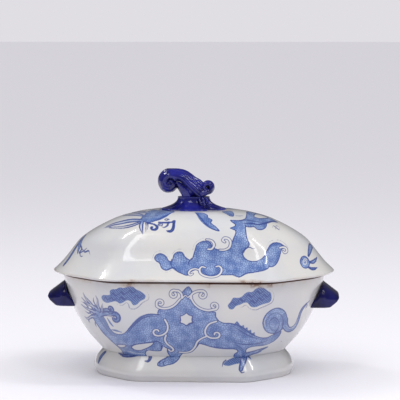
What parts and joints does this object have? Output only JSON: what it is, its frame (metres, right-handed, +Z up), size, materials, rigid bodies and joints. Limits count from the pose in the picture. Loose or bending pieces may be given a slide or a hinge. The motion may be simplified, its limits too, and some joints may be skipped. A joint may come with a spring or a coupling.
{
  "type": "soup tureen",
  "caption": "Octagonal soup tureen of blue-printed white ironstone on a hollow pedestal foot, with lug handles at its ends and a domed lift-off lid with a scroll finial.",
  "frame": {"origin": "centre of the base, on the surface that the foot stands on", "axes": "+X along the tureen towards the right handle, -Y towards its front, +Z up"},
  "size_m": [0.3378, 0.214, 0.2375],
  "materials": {
    "printed_white_glaze": "glossy off-white glaze over mid-blue transfer printing",
    "white_glaze": "glossy off-white glaze",
    "cobalt_glaze": "glossy, very dark cobalt blue glaze"
  },
  "bodies": {
    "tureen": {"bowl": "printed_white_glaze", "foot": "printed_white_glaze", "handle_left": "cobalt_glaze", "handle_right": "cobalt_glaze"},
    "lid": {"lid": "printed_white_glaze", "lid_flange": "white_glaze", "finial_base": "cobalt_glaze", "finial_scroll": "cobalt_glaze"}
  },
  "joints": [
    {"name": "lid_lift", "type": "slide", "parent": "tureen", "child": "lid", "axis": [0, 0, 1], "range_m": [0, 0.15]}
  ]
}
